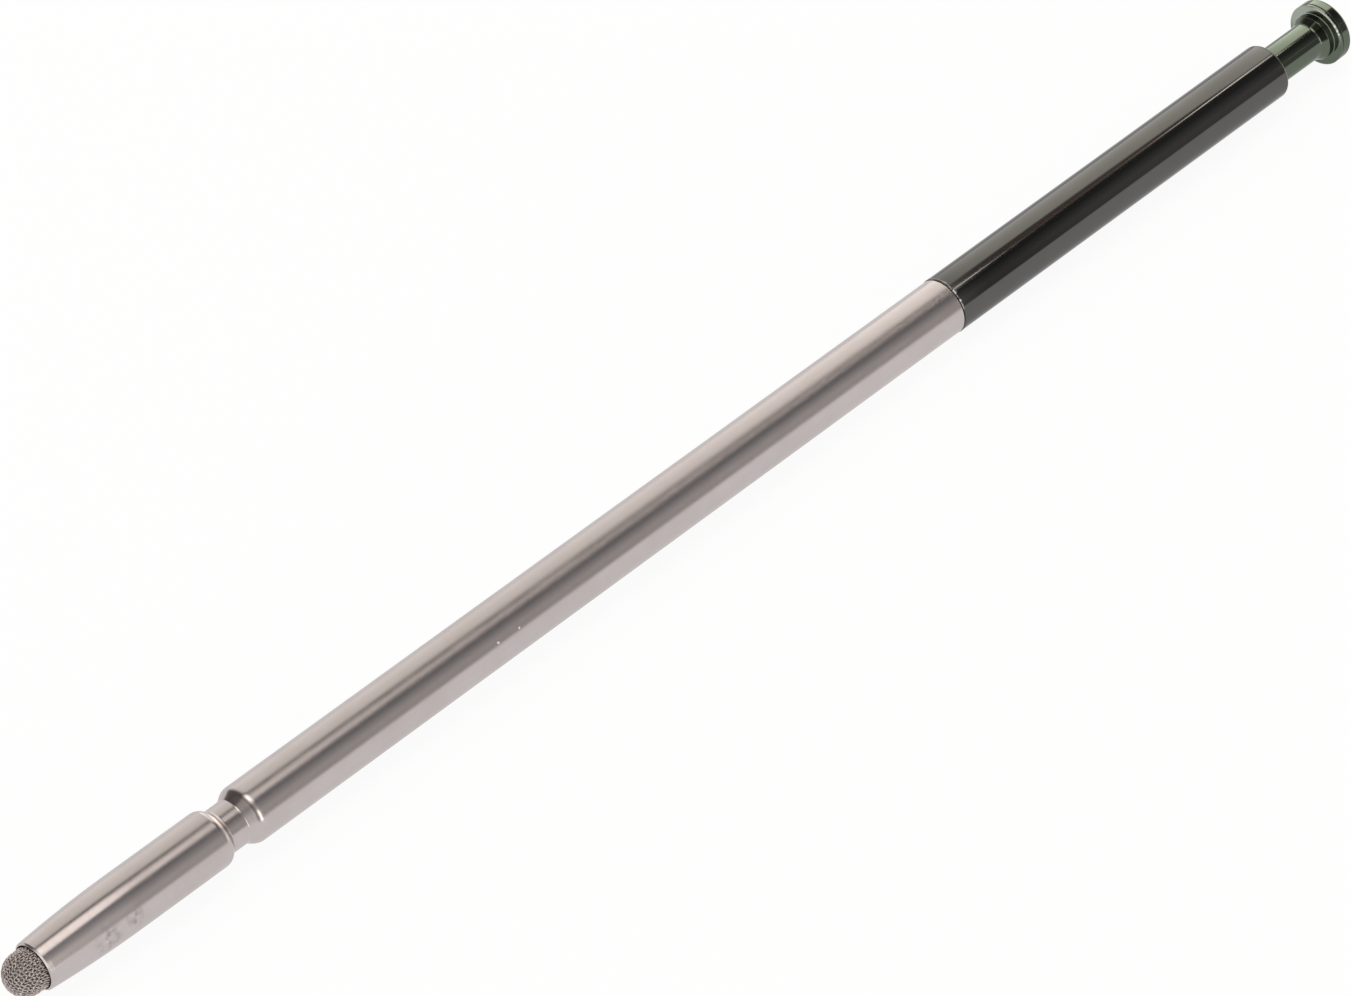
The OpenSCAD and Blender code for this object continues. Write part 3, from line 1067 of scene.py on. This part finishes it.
@dataclass
class Plunger(TurnedPart):
    """The plated plunger: spigot, rod, collar and head."""

    PIECE, NODE, SLOT, FINISH = "plunger_rod", "plunger", "green_plate", GREEN_PLATE
    BODY = Body.PLUNGER

    stub: float = 0.73
    stub_start: float = 94.8
    rod: float = 1.2
    rod_start: float = 97.37
    collar: float = 1.45
    collar_start: float = 106.59
    flare: float = 0.46
    flare_round: float = 0.3
    head: float = 2.0
    head_start: float = 107.01
    head_bevel: float = 0.055
    bevel_depth: float = 0.11
    head_round: float = 0.18
    line: float = 107.25
    line_width: float = 0.08
    edge_round: float = 0.05
    collar_fillet: float = 0.06
    bevel_round: float = 0.02
    line_round: float = 0.012
    line_root: float = 0.01

    def profile(self) -> list[Corner]:
        """Go from the spigot over rod and collar to the head's face.

        Returns:
            The corners.
        """
        half = self.line_width / 2
        return [
            (0.0, self.stub_start, 0), (self.stub, self.stub_start, self.edge_round),
            (self.stub, self.rod_start, 0), (self.rod, self.rod_start, 0),
            (self.rod, self.collar_start - self.flare, self.flare_round),
            (self.collar, self.collar_start, self.edge_round),
            (self.collar, self.head_start, self.collar_fillet),
            (self.head - self.bevel_depth, self.head_start, self.bevel_round),
            (self.head, self.head_start + self.head_bevel, self.bevel_round),
            (self.head, self.line - half, self.line_round),
            (self.head - self.line_width, self.line, self.line_root),
            (self.head, self.line + half, self.line_round),
            (self.head, AXIS.length, self.head_round), (0.0, AXIS.length, 0)]


@dataclass
class ReturnSpring:
    """The return spring between carrier and slider, which shortens as the plunger goes in."""

    coil: float = 0.65
    wire: float = 0.1
    start: float = 80.7
    end: float = 86.84
    turns: int = 7
    travel: float = 3.6
    steps: int = 36
    wire_sides: int = 12

    def build(self) -> list[Piece]:
        """Wind the spring and dress it.

        Returns:
            The spring.
        """
        share = np.linspace(0, 1, self.turns * self.steps + 1)
        turn = share * self.turns * math.tau
        rise = self.start + self.wire + share * (self.end - self.start - 2 * self.wire)
        path = np.stack(AXIS.place(self.coil, rise, turn + math.pi / 2), axis=1)
        piece = wire_piece("spring_coil", [path], self.wire, self.wire_sides)
        own(piece, Body.PEN, "spring_steel", SPRING_STEEL.make(), "return_spring")
        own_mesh(piece)
        return [piece]


@dataclass
class HiddenWorks:
    """The solids that stay as they are: the joint, the crimp ring and the click latch."""

    acetal_nodes: tuple[str, ...] = ("rod_bush", "cam_slider", "pin_carrier")
    spring_nodes: tuple[str, ...] = ("cam_pin", "pin_leaf")

    def build(self) -> list[Piece]:
        """Dress the solids.

        Returns:
            The solids.
        """
        acetal, steel = ACETAL.make(), SPRING_STEEL.make()
        return [
            dress_node("joint_coupler", JOINT_STEEL.make()),
            dress_node("tip_ferrule", CRIMP_BRASS.make()),
            *(dress_node(name, acetal) for name in self.acetal_nodes),
            *(dress_node(name, steel) for name in self.spring_nodes),
        ]


# Lights of the studio, by share along the pen or by turn about it in degrees

HALF_TURN = 180
FLAG_COLOURS = (
    (9, (0.26, 0.252, 0.245)), (31, (0.29, 0.282, 0.274)), (54, (0.168, 0.168, 0.17)),
    (66, (0.097, 0.099, 0.104)), (100, (0.085, 0.074, 0.069)), (118, (0.03, 0.022, 0.026)))
FLAG_GAIN = (
    (0.2, 1.5), (0.35, 2.4), (0.42, 2.4), (0.445, 1.85), (0.475, 1.15), (0.5, 0.97), (0.52, 1.3),
    (0.535, 2), (0.55, 2.4), (0.56, 3), (0.566, 4), (0.5695, 4.4), (0.5715, 0.4), (0.577, 0.45),
    (0.58, 0.72), (0.59, 0.98), (0.6, 1.08), (0.618, 1.12), (0.622, 0.9), (0.64, 0.86), (0.67, 2.1))
GAP = (
    (-0.66, 1), (-0.58, 2.1), (-0.38, 2.1), (-0.355, 0.25), (-0.265, 0.25), (-0.245, 1.2), (-0.12, 1.2),
    (-0.06, 1))
LOW_LEVEL = (8, 4)
LOW_COLOUR = (0.95, 0.93, 0.92)
WALL_COLOURS = (
    (107, (0.66, 0.65, 0.602)), (121, (0.722, 0.709, 0.66)), (143, (0.82, 0.808, 0.752)),
    (165, (0.96, 0.94, 0.9)), (180, (1, 0.985, 0.95)))
WALL_EDGE = (
    (0.43, 115), (0.445, 114.5), (0.48, 111.5), (0.5, 111), (0.53, 106), (0.547, 102.5), (0.566, 98),
    (0.5725, 97), (0.5745, 106.5), (0.59, 105), (0.605, 102.5), (0.614, 99), (0.617, 91), (0.6195, 84.5),
    (0.6215, 101.5))
WALL_SOFTNESS = (
    (0.43, 4), (0.5, 6), (0.53, 11), (0.5725, 12), (0.5745, 5), (0.605, 5), (0.6195, 2), (0.6215, 5))
WALL_POWER = (
    (0.565, 1.14), (0.57, 1.14), (0.574, 1.85), (0.585, 2.08), (0.618, 2.1), (0.622, 3.4), (0.632, 3.4),
    (0.66, 1.3))
WALL_SIDE = (-0.05, 0.25)
WALL_BEYOND = ((75, 1), (100, 0.08), (173, 0.08), (179, 1))
TUBE_COLOUR = (1, 0.95, 0.895)
TUBE_HALF = (
    (0.25, 19), (0.34, 15), (0.42, 12.5), (0.445, 7), (0.48, 4), (0.5, 5), (0.53, 15), (0.5705, 15),
    (0.573, 1.2))
TUBE_RIM = 1
TUBE_MIDDLE = (
    (0.44, 88), (0.5, 85), (0.57, 83.5), (0.5745, 81.5), (0.59, 86.5), (0.595, 89), (0.607, 89.5),
    (0.613, 92))
TUBE_GAIN = (
    (0.2, 0.8), (0.34, 1.6), (0.445, 1.5), (0.46, 0.8), (0.472, 0.25), (0.485, 0.02), (0.5, 0.02),
    (0.53, 0.09), (0.5705, 0.15), (0.5732, 9), (0.5748, 9), (0.5765, 0.1), (0.602, 0.1), (0.606, 2.4),
    (0.61, 5.5))
TUBE_END = (0.6205, 0.6185)
TUBE_FADE = (-0.4, 0.1, 0.32, 1)
BROWN_COLOUR = (1, 0.74, 0.66)
BROWN_TURN = 93
BROWN_WIDTH = (11.5, 8)
BROWN_GAIN = ((0.574, 0), (0.576, 0.2), (0.602, 0.27), (0.609, 0))
ROD_LINE_TURN = 36.6
ROD_LINE_WIDTH = (1.9, 1.1, 0, 0.45)
ROD_LINE_START = (0.6205, 0.6213)
ROD_LINE_END = (0.6275, 0.6265)
CROSS_SHARE = 0.08
CROSS_WIDTH = (0.15, 0.09)
CROSS_GAIN = ((-8, 0), (0, 2.6), (32, 2.6), (42, 0.3), (76, 0.3), (81, 2.6), (98, 2.6), (106, 0))
FRONT_LIGHT = (-0.74, -0.86, 0, 1.18)
FRONT_RISE = (-8, 0)
REAR_LIGHT = (0.75, 0.9, 0, 1.2)
REAR_GAIN = ((-8, 0), (0, 1), (8, 1), (16, 0.25), (62, 0.25), (78, 1))


class LightMap:
    """A white room round the pen: a bright wall behind it, dark flags before it and thin lights.

    Directions are read as a turn about the pen's length, from 0 degrees level on the camera's side over
    90 straight up to 180 level behind the pen, and as their share along the pen.
    """

    def __init__(self) -> None:
        """Start the world and read its directions."""
        world = bpy.data.worlds.new("studio")
        world.use_nodes = True
        bpy.context.scene.world = world
        self.board = board = Board(world.node_tree)
        part = board.add("SeparateXYZ", Vector=board.add("TexCoord").outputs["Generated"]).outputs
        self.share = part[0]
        turn = board.math("ARCTAN2", part[2], board.times(part[1], -1.0))
        self.turn = board.times(turn, HALF_TURN / math.pi)
        self.gap = board.table(self.share, GAP)
        self.shade = board.math("MINIMUM", self.gap, 1.0)

    def build(self) -> None:
        """Light the room."""
        board = self.board
        lights = (
            board.add("Background", Color=self._flags()),
            board.add("Background", Color=self._by_turn(WALL_COLOURS), Strength=self._wall()),
            board.add("Background", Color=rgba(TUBE_COLOUR), Strength=self._thin_lights()),
            board.add("Background", Color=rgba(BROWN_COLOUR), Strength=self._brown()),
        )
        lit = lights[0].outputs[0]
        for light in lights[1:]:
            lit = board.join(board.add("AddShader"), lit, light.outputs[0])[0]
        board.add("OutputWorld", Surface=lit)

    def _by_turn(self, stops: Sequence[tuple[float, Colour]]) -> Socket:
        """Read a colour off stops that are given in degrees of turn."""
        place = self.board.math("DIVIDE", self.turn, HALF_TURN)
        return self.board.ramp(place, [(at / HALF_TURN, colour) for at, colour in stops])

    def _flags(self) -> Socket:
        """Give the colour of the flags, which end in white below and are shaded in the gap.

        Returns:
            The colour's socket.
        """
        board = self.board
        colour = self._by_turn(FLAG_COLOURS)
        colour = board.mix(1.0, colour, board.table(self.share, FLAG_GAIN), "MULTIPLY")
        colour = board.mix(1.0, colour, board.math("MAXIMUM", self.gap, 1.0), "MULTIPLY")
        colour = board.mix(board.smooth(self.turn, *LOW_LEVEL), colour, rgba(LOW_COLOUR))
        return board.mix(1.0, colour, self.shade, "MULTIPLY")

    def _wall(self) -> Socket:
        """Give the strength of the wall, which is bright beside the pen and faint beyond its tip.

        Returns:
            The strength's socket.
        """
        board = self.board
        edge, soft = board.table(self.share, WALL_EDGE), board.table(self.share, WALL_SOFTNESS)
        begin, whole = board.math("SUBTRACT", edge, soft), board.math("ADD", edge, soft)
        power = board.times(board.table(self.share, WALL_POWER), board.smooth(self.turn, begin, whole))
        side = board.smooth(self.share, *WALL_SIDE)
        beyond = board.times(board.table(self.turn, WALL_BEYOND), board.math("SUBTRACT", 1.0, side))
        return board.times(power, board.math("ADD", side, beyond))

    def _thin_lights(self) -> Socket:
        """Give the strength of the tube over the pen, the rod's line and the lights across and at the ends.

        Returns:
            The strength's socket.
        """
        board, share, turn = self.board, self.share, self.turn
        half = board.table(share, TUBE_HALF)
        away = board.away(turn, board.table(share, TUBE_MIDDLE))
        tube = board.times(
            board.smooth(away, board.math("ADD", half, TUBE_RIM), half), board.table(share, TUBE_GAIN),
            board.smooth(share, *TUBE_END), board.smooth(share, *TUBE_FADE), self.shade)
        rod_line = board.times(
            board.smooth(board.away(turn, ROD_LINE_TURN), *ROD_LINE_WIDTH),
            board.smooth(share, *ROD_LINE_START), board.smooth(share, *ROD_LINE_END))
        cross = board.times(
            board.smooth(board.away(share, CROSS_SHARE), *CROSS_WIDTH), board.table(turn, CROSS_GAIN))
        front = board.times(board.smooth(share, *FRONT_LIGHT), board.smooth(turn, *FRONT_RISE))
        rear = board.times(board.smooth(share, *REAR_LIGHT), board.table(turn, REAR_GAIN))
        return board.fold("ADD", tube, rod_line, cross, front, rear)

    def _brown(self) -> Socket:
        """Give the strength of the faint brown glow between the sleeve's light band and its line."""
        near = self.board.smooth(self.board.away(self.turn, BROWN_TURN), *BROWN_WIDTH)
        return self.board.times(near, self.board.table(self.share, BROWN_GAIN))


@dataclass
class Studio:
    """Camera, pale floor and soft light."""

    image: tuple[int, int] = (1351, 996)
    focal_pixels: float = 6719.0
    sensor: float = 36.0
    clip: tuple[float, float] = (0.01, 20.0)
    azimuth: float = -46.7
    elevation: float = 43.3
    roll: float = 0.045
    distance: float = 375.7
    aim: Place = (-4.12, 0.0, 2.0)
    aim_pixel: tuple[float, float] = (665.86, 507.68)
    floor_half: float = 2.0
    floor_drop: float = 1e-5
    floor_glow: float = 0.93
    paper: Colour = (0.86, 0.86, 0.86)
    lamp_place: Place = (-0.12, 0.2, 0.6)
    lamp_size: float = 0.6
    lamp_power: float = 1.9

    def build(self) -> None:
        """Set up the picture."""
        bpy.context.scene.view_settings.view_transform = "Standard"
        self._camera()
        self._floor()
        self._lamp()
        LightMap().build()

    def _camera(self) -> None:
        """Put the camera where the picture was taken."""
        data = bpy.data.cameras.new("view")
        data.sensor_width = self.sensor
        data.lens = self.focal_pixels / self.image[0] * self.sensor
        data.clip_start, data.clip_end = self.clip
        camera = bpy.data.objects.new("view", data)
        bpy.context.scene.collection.objects.link(camera)
        a, e = math.radians(self.azimuth), math.radians(self.elevation)
        back = Vector((math.sin(a) * math.cos(e), -math.cos(a) * math.cos(e), math.sin(e)))
        turn = (-back).to_track_quat("-Z", "Y") @ Quaternion((0.0, 0.0, 1.0), math.radians(self.roll))
        right, up = turn @ Vector((1, 0, 0)), turn @ Vector((0, 1, 0))
        off_x = (self.aim_pixel[0] - self.image[0] / 2) / self.focal_pixels
        off_y = (self.image[1] / 2 - self.aim_pixel[1]) / self.focal_pixels
        place = (back - right * off_x - up * off_y) * self.distance
        camera.location = (Vector(self.aim) + place) * MM
        camera.rotation_mode = "QUATERNION"
        camera.rotation_quaternion = turn
        bpy.context.scene.camera = camera

    def _floor(self) -> None:
        """Lay a plain white floor that keeps a soft shadow."""
        h = self.floor_half
        floor = mesh_piece("floor", [(-h, -h, 0), (h, -h, 0), (h, h, 0), (-h, h, 0)], [(0, 1, 2, 3)])
        floor.location.z = -self.floor_drop
        material = bpy.data.materials.new("floor_white")
        material.use_nodes = True
        board = Board(material.node_tree)
        path = board.add("LightPath").outputs
        seen = board.fold(
            "MAXIMUM", path["Is Camera Ray"], path["Is Glossy Ray"], path["Is Transmission Ray"])
        paper = board.add("BsdfDiffuse", Color=rgba(self.paper))
        glow = board.add("Emission", Color=rgba((1.0, 1.0, 1.0)), Strength=1.0)
        share = board.times(seen, self.floor_glow)
        mixed = board.join(board.add("MixShader"), share, paper.outputs[0], glow.outputs[0])
        board.add("OutputMaterial", Surface=mixed[0])
        floor.data.materials.append(material)

    def _lamp(self) -> None:
        """Hang a large soft lamp that lights the cloth and the floor."""
        data = bpy.data.lights.new("soft_lamp", "AREA")
        data.shape = "SQUARE"
        data.size, data.energy = self.lamp_size, self.lamp_power
        lamp = bpy.data.objects.new("soft_lamp", data)
        lamp.location = self.lamp_place
        lamp.rotation_euler = (-lamp.location).to_track_quat("-Z", "Y").to_euler()
        lamp.visible_camera = lamp.visible_glossy = False
        bpy.context.scene.collection.objects.link(lamp)


def main() -> None:
    """Build the studio and the pen, and report each piece."""
    logging.basicConfig(level=logging.INFO, format="%(message)s")
    Studio().build()
    for kind in (TipCap, Nose, Barrel, Sleeve, Plunger, ReturnSpring, HiddenWorks):
        for piece in kind().build():
            LOG.info("%s: %s, %d faces", kind.__name__, piece.name, len(piece.data.polygons))


if __name__ == "__main__":
    main()
